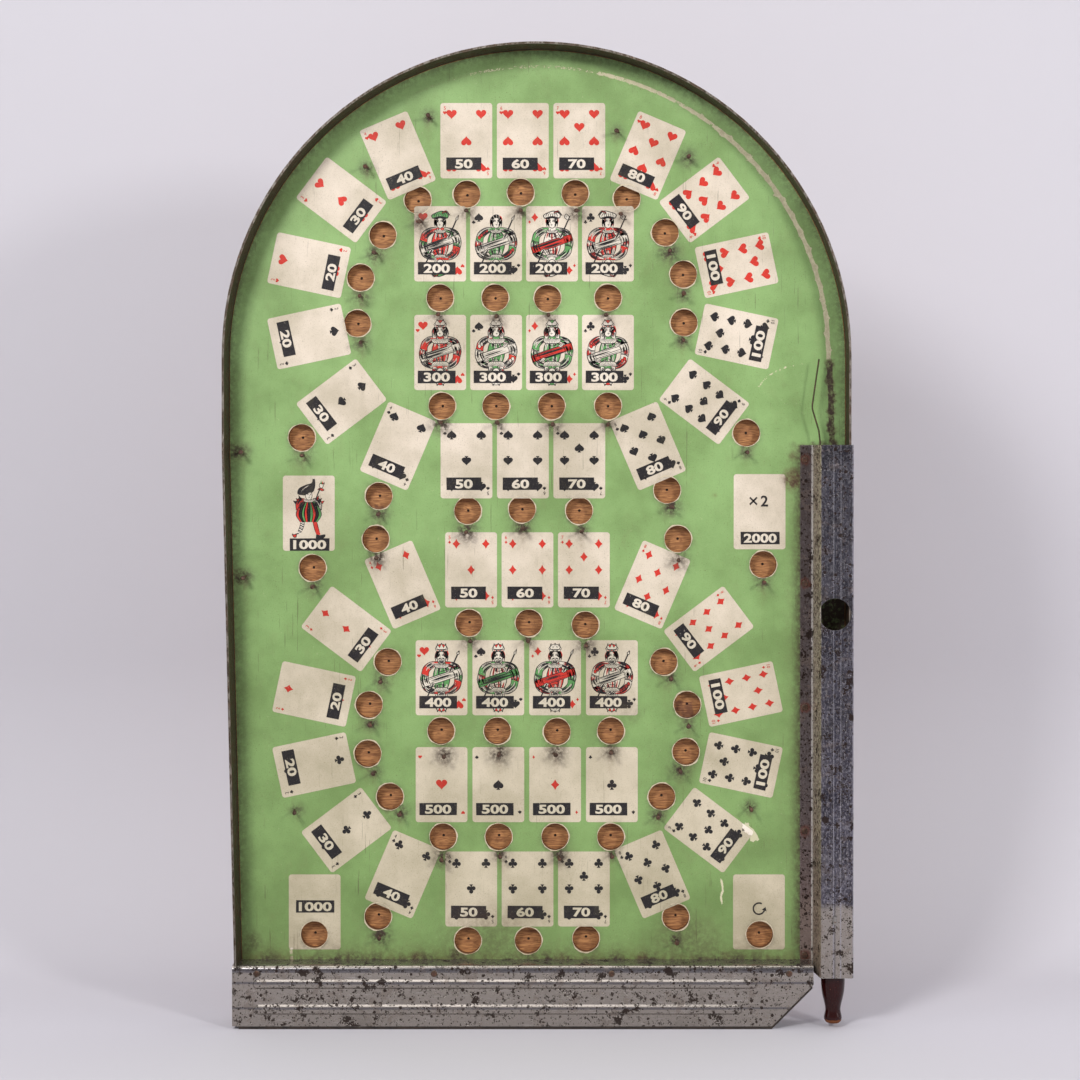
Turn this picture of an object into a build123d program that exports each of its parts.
"""Tabletop bagatelle board: an arch-topped playing board with a steel rim, a spring
shooter in a covered lane on the right, a nickel-plated sill and two battens behind.

Millimetres. The board stands on its lower edge: X to the player's right, Z up, and the
player looks along +Y. The origin is the middle of the board's lower edge.
"""

import os
from math import cos, radians, sin

from build123d import *

os.makedirs("parts", exist_ok=True)

# ---- Board and printed sheet ----
board_half_w = 229.2  # centreline to the board's straight right side
arch_z = 495.0  # height at which the half-round top starts
taper_z = 425.0  # the left side leans in below this height
foot_inset = 9.6  # how far the left side has leaned in at the board's foot
board_t = 10.0
handle_notch_z = 40.0  # lower edge of the board behind the shooter lane
sheet_t = 0.4
sheet_margin = 0.4
pocket_r = 10.0
pocket_depth = 6.5
drill_point_r = 1.0
drill_point_depth = 1.2

# ---- Rim ----
rim_t = 0.8
rim_stand = 25.0  # how far the band stands in front of the board's face
rim_hem = 5.0  # width of the folded outer edge
rim_nail_pitch = 100.0
rim_nail_arch_step = 22.5  # degrees

# ---- Sill ----
sill_h = 46.4
sill_depth = 20.0
sill_chamfer = 30.0
facing_t = 0.6
facing_overhang = 0.8  # how far the facing runs past the block's right end
facing_left_overhang = 4.9  # how far the facing runs past the board's lower left corner
facing_foot = 2.2
facing_chamfer_top = 33.0
facing_roll_r = 4.0
rib_h = 1.2
# each rib: distance from the facing's left end, from its right end, height, width
facing_ribs = ((15.1, 41.5, 33.3, 6.8), (15.5, 52.6, 14.6, 7.4))
sill_nail_count = 4
sill_nail_inset = 18.0
sill_nail_z = 41.0

# ---- Shooter lane and its cover ----
cover_t = 0.8
cover_foot_z = 38.8
cover_top_z = 430.4
lane_w = 24.8  # from the foot of the cover's wall to the rim
cover_flange_w = 8.9
cover_sill_gap = 0.6  # between the sill facing's end and the foot of the cover's wall
cover_wall_slant = 4.0  # how far the wall leans over from its foot to its top
cover_side_gap = 1.0  # between the cover's side and the rim's hem
cover_side_end = 8.0  # how far the side reaches past the board's face
cover_bend_r = 1.6
cover_rib_shift = 1.6  # the cover's ribs lie this far right of the shooter's axis
cover_rib_w = 7.7
cover_ribs = ((104.4, 281.0), (329.3, 416.6))
ball_hole_z = 306.1
ball_hole_r = 11.75
cover_nail_inset = 3.5
cover_nail_z0 = 50.5
cover_nail_pitch = 92.3
cover_nail_count = 5

# ---- Shooter ----
shooter_stand = 12.7  # axis in front of the board's face
travel = 38.0
rod_r = 2.5
rod_running = 0.08
guide_t = 1.2
lower_guide_z = 81.0
guide_foot = 10.0
tongue_w = 2.6
tongue_h = 6.0
tongue_out = 1.2
spring_r = 5.4
wire_r = 0.6
spring_rest = 60.0
spring_turns = 13
collar_r = 6.4
collar_h = 5.0
stop_gap = 0.2
striker_r = 7.0
striker_h = 22.0
striker_clear = 2.5  # between the drawn striker and the upper guide
handle_foot_z = 3.4
handle_h = 49.0
handle_bore_depth = 28.0
pin_r = 0.8
# radius of the turned handle, against height above its foot
handle_turning = (
    (6.55, 3.6), (5.6, 9.4), (5.75, 11.6), (7.5, 19.2), (8.7, 28.0), (8.6, 36.0), (6.6, 44.0),
)

# ---- Gate wire at the top of the lane ----
gate_stand = 10.0  # wire axis in front of the board's face
gate_pivot_gap = 1.0  # pivot to the top of the cover's wall, across the lane
gate_pivot_depth = 10.4  # pivot to the cover's upper end
# the arm's bends, from the pivot: to the right, and up
gate_run = ((0.0, 12.0), (-1.0, 21.0), (-6.1, 38.0), (-3.4, 57.0), (-0.9, 74.0))
gate_radii = (2.0, 6.0, 12.0, 12.0, 40.0)
gate_leg_depth = 6.0
gate_running = 0.05

# ---- Nails ----
nail_r = 0.75
nail_stand = 11.5
nail_drive = 7.0
nail_head_r = 1.7
nail_head_h = 0.9
tack_r = 0.9
tack_head_r = 2.4
tack_head_h = 0.9
tack_drive = 6.5

# ---- Battens and screws behind the board ----
batten_w = 30.0
batten_half_l = 150.0
top_batten_rise = 105.0  # top batten above the start of the half-round
top_batten_t = 40.0
bottom_batten_t = 14.0
bottom_batten_inset = 5.0
batten_screw_x = (-130.0, 0.0, 130.0)
screw_r = 2.0
screw_head_r = 3.8
screw_head_h = 2.4
screw_into_board = 6.5
counterbore_r = 4.6
screw_grip = 10.0  # batten wood left under the screw head

# Every pocket, row by row from the top: its centre, then how far its nail stands to the
# side of it and below it. A zero drop is a pocket with no nail.
pockets = (
    (-89.0, 612.5, 2.0, 17.0), (-52.5, 617.0, 0.0, 13.5), (-12.5, 618.5, 0.5, 15.0),
    (28.0, 617.5, 1.0, 14.0), (66.5, 614.0, -4.5, 13.0),
    (-115.0, 586.5, -5.5, 14.0), (95.0, 588.5, 3.0, 14.5),
    (-131.5, 555.0, 0.5, 14.5), (108.5, 557.5, 0.0, 15.0),
    (-134.0, 521.0, 3.5, 15.0), (109.0, 521.5, -1.0, 13.5),
    (-72.5, 540.0, -0.5, 13.0), (-31.5, 540.0, 1.5, 14.5), (7.5, 539.5, 1.0, 13.0),
    (52.5, 540.0, -1.5, 13.5),
    (-71.0, 459.5, -0.5, 12.5), (-31.0, 459.5, 1.5, 12.5), (10.5, 459.5, 1.0, 14.0),
    (52.5, 459.5, 0.0, 14.0),
    (-175.5, 436.0, 1.5, 13.5), (155.5, 439.5, 0.0, 14.5),
    (-118.0, 392.5, 0.5, 13.5), (96.5, 397.0, 3.0, 12.5),
    (-52.0, 381.5, -0.5, 15.5), (-11.5, 382.5, 0.5, 14.0), (31.0, 381.5, 2.0, 15.0),
    (-120.5, 360.5, 1.5, 14.0), (104.5, 360.5, 0.0, 15.5),
    (-167.5, 339.0, 1.0, 13.5), (168.0, 341.5, 0.0, 13.0),
    (-51.0, 298.0, 1.5, 13.0), (-6.5, 298.0, 0.0, 12.5), (35.5, 296.5, 0.5, 15.0),
    (-111.5, 269.0, -4.5, 14.0), (94.0, 269.0, 5.0, 12.0),
    (-125.5, 237.0, 1.5, 14.0), (111.5, 237.0, 0.5, 15.0),
    (-126.5, 200.5, 5.0, 13.5), (110.5, 202.0, -4.5, 13.5),
    (-110.0, 168.5, 8.0, 12.0), (92.5, 168.5, -3.0, 14.0),
    (-72.0, 217.5, 3.0, 18.0), (-30.0, 217.5, 1.5, 16.5), (14.5, 217.0, -0.5, 16.0),
    (54.5, 217.5, 0.0, 15.0),
    (-70.5, 138.5, -0.5, 15.5), (-29.0, 138.5, 1.5, 13.0), (13.0, 138.5, 3.5, 14.5),
    (54.5, 138.5, 1.0, 13.0),
    (-119.0, 79.0, 2.0, 14.0), (103.0, 78.5, 0.5, 17.0),
    (-166.5, 65.5, 0.0, 0.0), (165.5, 65.5, 0.0, 0.0),
    (-52.0, 61.0, 0.0, 0.0), (-7.0, 61.0, 0.0, 0.0), (36.0, 62.5, 0.0, 0.0),
)
deflector_places = (
    (-80.5, 674.0), (-127.0, 636.0), (58.5, 662.5), (112.0, 643.5),
    (-219.0, 425.0), (-217.5, 332.0), (-179.5, 158.0), (158.5, 160.5),
)

# ---- Worked out ----
face_y = -board_t / 2
back_y = board_t / 2
sheet_y = face_y - sheet_t
foot_half_w = board_half_w - foot_inset
sill_top_z = sill_h + facing_t
rim_outer = board_half_w + rim_t
hem_outer = rim_outer + rim_t
cover_wall_foot_x = board_half_w - lane_w
cover_wall_top_x = cover_wall_foot_x + cover_wall_slant
cover_flange_x = cover_wall_foot_x - cover_flange_w
cover_stand = rim_stand + cover_t
facing_right = cover_wall_foot_x - cover_sill_gap
facing_left = -foot_half_w - facing_left_overhang
facing_front_y = face_y - sill_depth - facing_t
sill_right = facing_right - facing_overhang
cover_right = hem_outer + cover_side_gap + cover_t
cover_top_y = face_y - cover_stand
shooter_x = (cover_wall_top_x + board_half_w) / 2
shooter_y = face_y - shooter_stand
spring_foot_z = lower_guide_z + guide_t
collar_z = spring_foot_z + spring_rest
upper_guide_z = collar_z + collar_h + stop_gap
striker_z = upper_guide_z + guide_t + travel + striker_clear
rod_foot_z = handle_foot_z + handle_h - handle_bore_depth
rod_top_z = striker_z + striker_h / 2
lane_left_x = cover_wall_top_x + 1.1
lane_right_x = board_half_w - 0.4
gate_pivot = (cover_wall_top_x + gate_pivot_gap, cover_top_z - gate_pivot_depth)
top_batten_z = arch_z + top_batten_rise
pocket_centres = [(x, z) for x, z, side, drop in pockets]
nail_places = [(x + side, z - drop) for x, z, side, drop in pockets if drop > 0]


def front(x, z, stand_off=0.0):
    """A plane that faces the player, stand_off in front of the board's face."""
    return Plane(origin=(x, face_y - stand_off, z), x_dir=(1, 0, 0), z_dir=(0, -1, 0))


def behind(x, z, stand_off):
    """A plane that faces away from the player, stand_off behind the board's back."""
    return Plane(origin=(x, back_y + stand_off, z), x_dir=(-1, 0, 0), z_dir=(0, 1, 0))


def draw_outline():
    """The board's edge: lower edge, chamfered corner, handle notch, sides and half-round top."""
    Polyline(
        (-board_half_w, taper_z),
        (-foot_half_w, 0),
        (sill_right - sill_chamfer, 0),
        (sill_right, sill_chamfer),
        (sill_right, handle_notch_z),
        (board_half_w, handle_notch_z),
        (board_half_w, arch_z),
    )
    CenterArc((0, arch_z), board_half_w, 0, 180)
    Line((-board_half_w, arch_z), (-board_half_w, taper_z))


def drive(planes, shank_r, head_r, head_h, above, below):
    """Nails at the planes: the shank reaches above and below each plane, the head tops it."""
    rising = (Align.CENTER, Align.CENTER, Align.MIN)
    shanks = [plane.offset(-below) for plane in planes]
    heads = [plane.offset(above) for plane in planes]
    with Locations(*shanks):
        Cylinder(shank_r, above + below, align=rising)
    with Locations(*heads):
        Cone(head_r, head_r * 0.72, head_h, align=rising)


def save(part, name):
    """Labels a finished piece and writes it as one STEP file."""
    part.label = name
    export_step(part, f"parts/{name}.step")


# ---- Board ----
gate_hole = front(gate_pivot[0], gate_pivot[1])
with BuildPart() as board:
    with BuildSketch(front(0, 0, -board_t)):
        with BuildLine():
            draw_outline()
        make_face()
    extrude(amount=board_t)
    with Locations(*[front(x, z) for x, z in pocket_centres]):
        Cylinder(pocket_r, 2 * pocket_depth, mode=Mode.SUBTRACT)
    with Locations(*[front(x, z, -pocket_depth) for x, z in pocket_centres]):
        Cylinder(drill_point_r, 2 * drill_point_depth, mode=Mode.SUBTRACT)
    with Locations(gate_hole):
        Cylinder(wire_r + gate_running, 2 * (gate_leg_depth + 0.5), mode=Mode.SUBTRACT)
save(board.part, "board")

with BuildPart() as playfield_sheet:
    with BuildSketch(front(0, 0)):
        with BuildLine():
            draw_outline()
        make_face()
        offset(amount=-sheet_margin)
        with Locations((0, sill_top_z / 2)):
            Rectangle(4 * board_half_w, sill_top_z, mode=Mode.SUBTRACT)
        with Locations(*pocket_centres):
            Circle(pocket_r, mode=Mode.SUBTRACT)
        with Locations(gate_pivot):
            Circle(wire_r + gate_running, mode=Mode.SUBTRACT)
    extrude(amount=sheet_t)
save(playfield_sheet.part, "playfield_sheet")

# ---- Rim ----
with BuildPart() as rim_band:
    with BuildSketch(front(0, 0, -board_t)):
        with BuildLine():
            draw_outline()
        make_face()
        offset(amount=rim_t, kind=Kind.INTERSECTION)
        with BuildLine():
            draw_outline()
        make_face(mode=Mode.SUBTRACT)
    extrude(amount=board_t + rim_stand)
    with BuildSketch(front(0, 0, rim_stand - rim_hem)):
        with BuildLine():
            draw_outline()
        make_face()
        offset(amount=2 * rim_t, kind=Kind.INTERSECTION)
        with BuildLine():
            draw_outline()
        make_face(mode=Mode.SUBTRACT)
    extrude(amount=rim_hem)
    with Locations((0, 0, handle_notch_z)):
        Box(
            4 * board_half_w, 4 * rim_stand, 2 * handle_notch_z,
            align=(Align.CENTER, Align.CENTER, Align.MAX), mode=Mode.SUBTRACT,
        )
    with Locations((0, 0, sill_top_z)):
        Box(
            2 * board_half_w, 4 * rim_stand, sill_top_z,
            align=(Align.MAX, Align.CENTER, Align.MAX), mode=Mode.SUBTRACT,
        )
save(rim_band.part, "rim_band")

rim_nail_planes = []
for step in range(round((arch_z - cover_top_z / 2) / rim_nail_pitch) + 2):
    nail_z = sill_top_z + rim_nail_pitch / 2 + step * rim_nail_pitch
    lean = (board_half_w - foot_half_w) * max(0.0, taper_z - nail_z) / taper_z
    if nail_z < arch_z - rim_nail_pitch / 4:
        rim_nail_planes.append(Plane(origin=(rim_outer, 0, nail_z), z_dir=(1, 0, 0)))
        rim_nail_planes.append(Plane(origin=(-rim_outer + lean, 0, nail_z), z_dir=(-1, 0, 0)))
for step in range(round(180 / rim_nail_arch_step) + 1):
    turn = radians(step * rim_nail_arch_step)
    out = (cos(turn), 0, sin(turn))
    seat = (rim_outer * cos(turn), 0, arch_z + rim_outer * sin(turn))
    rim_nail_planes.append(Plane(origin=seat, z_dir=out))
with BuildPart() as rim_nails:
    drive(rim_nail_planes, tack_r, tack_head_r, rim_t * 0.8, 0.0, tack_drive)
save(rim_nails.part, "rim_nails")

# ---- Nails in the playing field ----
with BuildPart() as pocket_nails:
    seats = [front(x, z) for x, z in nail_places]
    drive(seats, nail_r, nail_head_r, nail_head_h, nail_stand, nail_drive)
save(pocket_nails.part, "pocket_nails")

with BuildPart() as deflector_nails:
    seats = [front(x, z) for x, z in deflector_places]
    drive(seats, nail_r, nail_head_r, nail_head_h, nail_stand, nail_drive)
save(deflector_nails.part, "deflector_nails")

# ---- Sill ----
with BuildPart() as sill_block:
    with BuildSketch(front(0, 0)):
        with BuildLine():
            Polyline(
                (-foot_half_w, 0),
                (sill_right - sill_chamfer, 0),
                (sill_right, sill_chamfer),
                (sill_right, sill_h),
                (-foot_half_w, sill_h),
                close=True,
            )
        make_face()
    extrude(amount=sill_depth)
    top_edges = sill_block.edges().filter_by(Axis.X).group_by(Axis.Z)[-1]
    fillet(top_edges.sort_by(Axis.Y)[0], radius=facing_roll_r - facing_t)
save(sill_block.part, "sill_block")

with BuildPart() as sill_facing:
    with BuildSketch(Plane.YZ.offset(facing_left)):
        with BuildLine():
            Polyline(
                (face_y, facing_foot),
                (facing_front_y, facing_foot),
                (facing_front_y, sill_top_z),
                (face_y, sill_top_z),
                close=True,
            )
        make_face()
        outer_corner = vertices().group_by(Axis.Y)[-1].sort_by(Axis.X)[0]
        fillet(outer_corner, radius=facing_roll_r)
    extrude(amount=facing_right - facing_left)
    with BuildSketch(Plane.YZ.offset(facing_left + facing_t)):
        with BuildLine():
            Polyline(
                (face_y + 1, facing_foot - 1),
                (face_y - sill_depth, facing_foot - 1),
                (face_y - sill_depth, sill_h),
                (face_y + 1, sill_h),
                close=True,
            )
        make_face()
        inner_corner = vertices().group_by(Axis.Y)[-1].sort_by(Axis.X)[0]
        fillet(inner_corner, radius=facing_roll_r - facing_t)
    extrude(amount=facing_right - facing_left, mode=Mode.SUBTRACT)
    with BuildSketch(front(0, 0, -1)):
        with BuildLine():
            Polyline(
                (facing_right, facing_chamfer_top),
                (facing_right - facing_chamfer_top, 0),
                (facing_right + facing_chamfer_top, 0),
                (facing_right + facing_chamfer_top, facing_chamfer_top),
                close=True,
            )
        make_face()
    extrude(amount=sill_depth + 5, mode=Mode.SUBTRACT)
    for left_inset, right_inset, rib_z, rib_w in facing_ribs:
        rib_left = facing_left + left_inset
        rib_right = facing_right - right_inset
        with BuildSketch(front((rib_left + rib_right) / 2, rib_z, sill_depth + facing_t)):
            SlotOverall(rib_right - rib_left, rib_w)
        extrude(amount=rib_h, taper=45)
save(sill_facing.part, "sill_facing")

sill_nail_pitch = (facing_right - facing_left - 2 * sill_nail_inset) / (sill_nail_count - 1)
with BuildPart() as sill_nails:
    seats = [
        front(facing_left + sill_nail_inset + i * sill_nail_pitch, sill_nail_z, sill_depth + facing_t)
        for i in range(sill_nail_count)
    ]
    drive(seats, tack_r, tack_head_r, tack_head_h, 0.0, tack_drive)
save(sill_nails.part, "sill_nails")

# ---- Shooter cover ----
with BuildPart() as shooter_cover:
    with BuildSketch(Plane.XY.offset(cover_foot_z)):
        with BuildLine():
            FilletPolyline(
                (cover_flange_x, sheet_y - cover_t),
                (cover_wall_foot_x, sheet_y - cover_t),
                (cover_wall_top_x, cover_top_y),
                (cover_right, cover_top_y),
                (cover_right, face_y + cover_side_end),
                radius=cover_bend_r,
            )
            offset(amount=cover_t, side=Side.LEFT)
        make_face()
    extrude(amount=cover_top_z - cover_foot_z)
    with Locations((cover_wall_foot_x, 0, sill_top_z)):
        Box(
            2 * (cover_wall_foot_x - cover_flange_x), 3 * board_t, sill_top_z,
            align=(Align.MAX, Align.CENTER, Align.MAX), mode=Mode.SUBTRACT,
        )
    with Locations(front(shooter_x, ball_hole_z, cover_stand)):
        Cylinder(ball_hole_r, 6 * cover_t, mode=Mode.SUBTRACT)
    with Locations(front(shooter_x, lower_guide_z + guide_t / 2, cover_stand)):
        Box(tongue_w + 0.4, tongue_h + 0.4, 6 * cover_t, mode=Mode.SUBTRACT)
    for rib_low, rib_high in cover_ribs:
        with BuildSketch(front(shooter_x + cover_rib_shift, (rib_low + rib_high) / 2, cover_stand)):
            SlotOverall(rib_high - rib_low, cover_rib_w, rotation=90)
        extrude(amount=rib_h, taper=45)
save(shooter_cover.part, "shooter_cover")

with BuildPart() as cover_nails:
    seats = [
        front(cover_flange_x + cover_nail_inset, cover_nail_z0 + i * cover_nail_pitch, sheet_t + cover_t)
        for i in range(cover_nail_count)
    ]
    drive(seats, tack_r, tack_head_r, tack_head_h, 0.0, tack_drive)
save(cover_nails.part, "cover_nails")

# ---- Shooter guides: steel angles nailed to the board, with a hole for the rod ----
guide_reach = cover_stand - cover_t - sheet_t - 0.2
guide_planes = {"lower_guide": lower_guide_z, "upper_guide": upper_guide_z}
guide_w = lane_right_x - lane_left_x
guide_mid_x = (lane_right_x + lane_left_x) / 2
guide_nail_planes = []
for guide_name, guide_z in guide_planes.items():
    with BuildPart() as guide:
        with Locations((guide_mid_x, sheet_y, guide_z)):
            Box(guide_w, guide_reach, guide_t, align=(Align.CENTER, Align.MAX, Align.MIN))
            Box(guide_w, guide_t, guide_foot, align=(Align.CENTER, Align.MAX, Align.MIN))
        if guide_name == "lower_guide":
            with Locations((shooter_x, sheet_y - guide_reach, guide_z + guide_t / 2)):
                Box(
                    tongue_w, 0.2 + cover_t + tongue_out, guide_t,
                    align=(Align.CENTER, Align.MAX, Align.CENTER),
                )
            with Locations((shooter_x, cover_top_y, guide_z + guide_t / 2)):
                Box(tongue_w, tongue_out, tongue_h, align=(Align.CENTER, Align.MAX, Align.CENTER))
        with Locations((shooter_x, shooter_y, guide_z)):
            Cylinder(rod_r + rod_running, 4 * guide_t, mode=Mode.SUBTRACT)
    save(guide.part, guide_name)
    for nail_x in (lane_left_x + 3.2, lane_right_x - 3.2):
        nail_z = guide_z + guide_foot - 3.6
        guide_nail_planes.append(front(nail_x, nail_z, sheet_t + guide_t))
with BuildPart() as guide_nails:
    drive(guide_nail_planes, tack_r, tack_head_r, tack_head_h, 0.0, tack_drive)
save(guide_nails.part, "guide_nails")

# ---- Plunger ----
rising = (Align.CENTER, Align.CENTER, Align.MIN)
with BuildPart() as plunger_rod:
    with Locations((shooter_x, shooter_y, rod_foot_z)):
        Cylinder(rod_r, rod_top_z - rod_foot_z, align=rising)
save(plunger_rod.part, "plunger_rod")

with BuildPart() as spring_collar:
    with Locations((shooter_x, shooter_y, collar_z)):
        Cylinder(collar_r, collar_h, align=rising)
        Cylinder(rod_r, collar_h, align=rising, mode=Mode.SUBTRACT)
    chamfer(spring_collar.edges().filter_by(GeomType.CIRCLE).group_by(SortBy.RADIUS)[-1], 0.6)
save(spring_collar.part, "spring_collar")

with BuildPart() as collar_pin:
    with Locations((shooter_x, shooter_y, collar_z + collar_h / 2)):
        Cylinder(pin_r, 2 * collar_r, rotation=(0, 90, 0))
save(collar_pin.part, "collar_pin")

with BuildPart() as striker_tip:
    with Locations((shooter_x, shooter_y, striker_z)):
        Cylinder(striker_r, striker_h, align=rising)
    fillet(striker_tip.edges().group_by(Axis.Z)[-1], radius=3.0)
    chamfer(striker_tip.edges().group_by(Axis.Z)[0], 1.0)
    with Locations((shooter_x, shooter_y, striker_z)):
        Cylinder(rod_r, striker_h / 2, align=rising, mode=Mode.SUBTRACT)
save(striker_tip.part, "striker_tip")

coil_h = spring_rest - 2 * wire_r - 0.4
with BuildPart() as plunger_spring:
    coil_foot = (shooter_x, shooter_y, spring_foot_z + wire_r + 0.2)
    with BuildLine() as coil:
        Helix(pitch=coil_h / spring_turns, height=coil_h, radius=spring_r, center=coil_foot)
    with BuildSketch(Plane(origin=coil.line @ 0, z_dir=coil.line % 0)):
        Circle(wire_r)
    sweep(path=coil.line, is_frenet=True)
save(plunger_spring.part, "plunger_spring")

with BuildPart() as handle:
    with BuildSketch(front(shooter_x, handle_foot_z, shooter_stand)):
        with BuildLine():
            Line((0, 0), (4.6, 0))
            Spline((4.6, 0), *handle_turning, (3.6, handle_h))
            Line((3.6, handle_h), (0, handle_h))
            Line((0, handle_h), (0, 0))
        make_face()
    revolve(axis=Axis((shooter_x, shooter_y, 0), (0, 0, 1)))
    with Locations((shooter_x, shooter_y, rod_foot_z)):
        Cylinder(rod_r, 2 * handle_h, align=rising, mode=Mode.SUBTRACT)
save(handle.part, "handle")

with BuildPart() as handle_pin:
    with Locations((shooter_x, shooter_y, handle_foot_z + handle_turning[-2][1])):
        Cylinder(pin_r, 2 * handle_turning[-2][0] - 0.6, rotation=(0, 90, 0))
save(handle_pin.part, "handle_pin")

# ---- Gate wire: one leg turns in the board, the bent arm stands across the lane's mouth ----
gate_y = face_y - gate_stand
with BuildPart() as gate_wire:
    with BuildLine() as gate_path:
        FilletPolyline(
            (gate_pivot[0], face_y + gate_leg_depth, gate_pivot[1]),
            (gate_pivot[0], gate_y, gate_pivot[1]),
            *[(gate_pivot[0] + side, gate_y, gate_pivot[1] + up) for side, up in gate_run],
            radius=gate_radii[: len(gate_run)],
        )
    with BuildSketch(Plane(origin=gate_path.line @ 0, z_dir=gate_path.line % 0)):
        Circle(wire_r)
    sweep(path=gate_path.line)
save(gate_wire.part, "gate_wire")

# ---- Battens and their screws ----
with BuildPart() as top_batten:
    with BuildSketch(behind(0, top_batten_z, 0)):
        Rectangle(2 * batten_half_l, batten_w)
    extrude(amount=top_batten_t)
    chamfer(top_batten.faces().sort_by(Axis.Y)[-1].edges(), 2.0)
    with Locations(*[behind(x, top_batten_z, top_batten_t) for x in batten_screw_x]):
        Cylinder(counterbore_r, 2 * (top_batten_t - screw_grip), mode=Mode.SUBTRACT)
save(top_batten.part, "top_batten")

bottom_batten_z = batten_w / 2
bottom_batten_left = -foot_half_w + bottom_batten_inset
bottom_batten_right = sill_right - sill_chamfer - bottom_batten_inset
bottom_mid_x = (bottom_batten_left + bottom_batten_right) / 2
with BuildPart() as bottom_batten:
    with BuildSketch(behind(bottom_mid_x, bottom_batten_z, 0)):
        Rectangle(bottom_batten_right - bottom_batten_left, batten_w)
    extrude(amount=bottom_batten_t)
    chamfer(bottom_batten.faces().sort_by(Axis.Y)[-1].edges(), 1.5)
    with Locations(*[behind(x, bottom_batten_z, bottom_batten_t) for x in batten_screw_x]):
        Cylinder(counterbore_r, 2 * (bottom_batten_t - screw_grip), mode=Mode.SUBTRACT)
save(bottom_batten.part, "bottom_batten")

screw_seats = [behind(x, top_batten_z, screw_grip) for x in batten_screw_x]
screw_seats += [behind(x, bottom_batten_z, screw_grip) for x in batten_screw_x]
with BuildPart() as batten_screws:
    shank_l = screw_grip + screw_into_board
    with Locations(*[seat.offset(-shank_l) for seat in screw_seats]):
        Cylinder(screw_r, shank_l, align=rising)
    with Locations(*screw_seats):
        Cylinder(screw_head_r, screw_head_h, align=rising)
    with Locations(*[seat.offset(screw_head_h) for seat in screw_seats]):
        Box(3 * screw_head_r, 1.0, 1.6, mode=Mode.SUBTRACT)
save(batten_screws.part, "batten_screws")
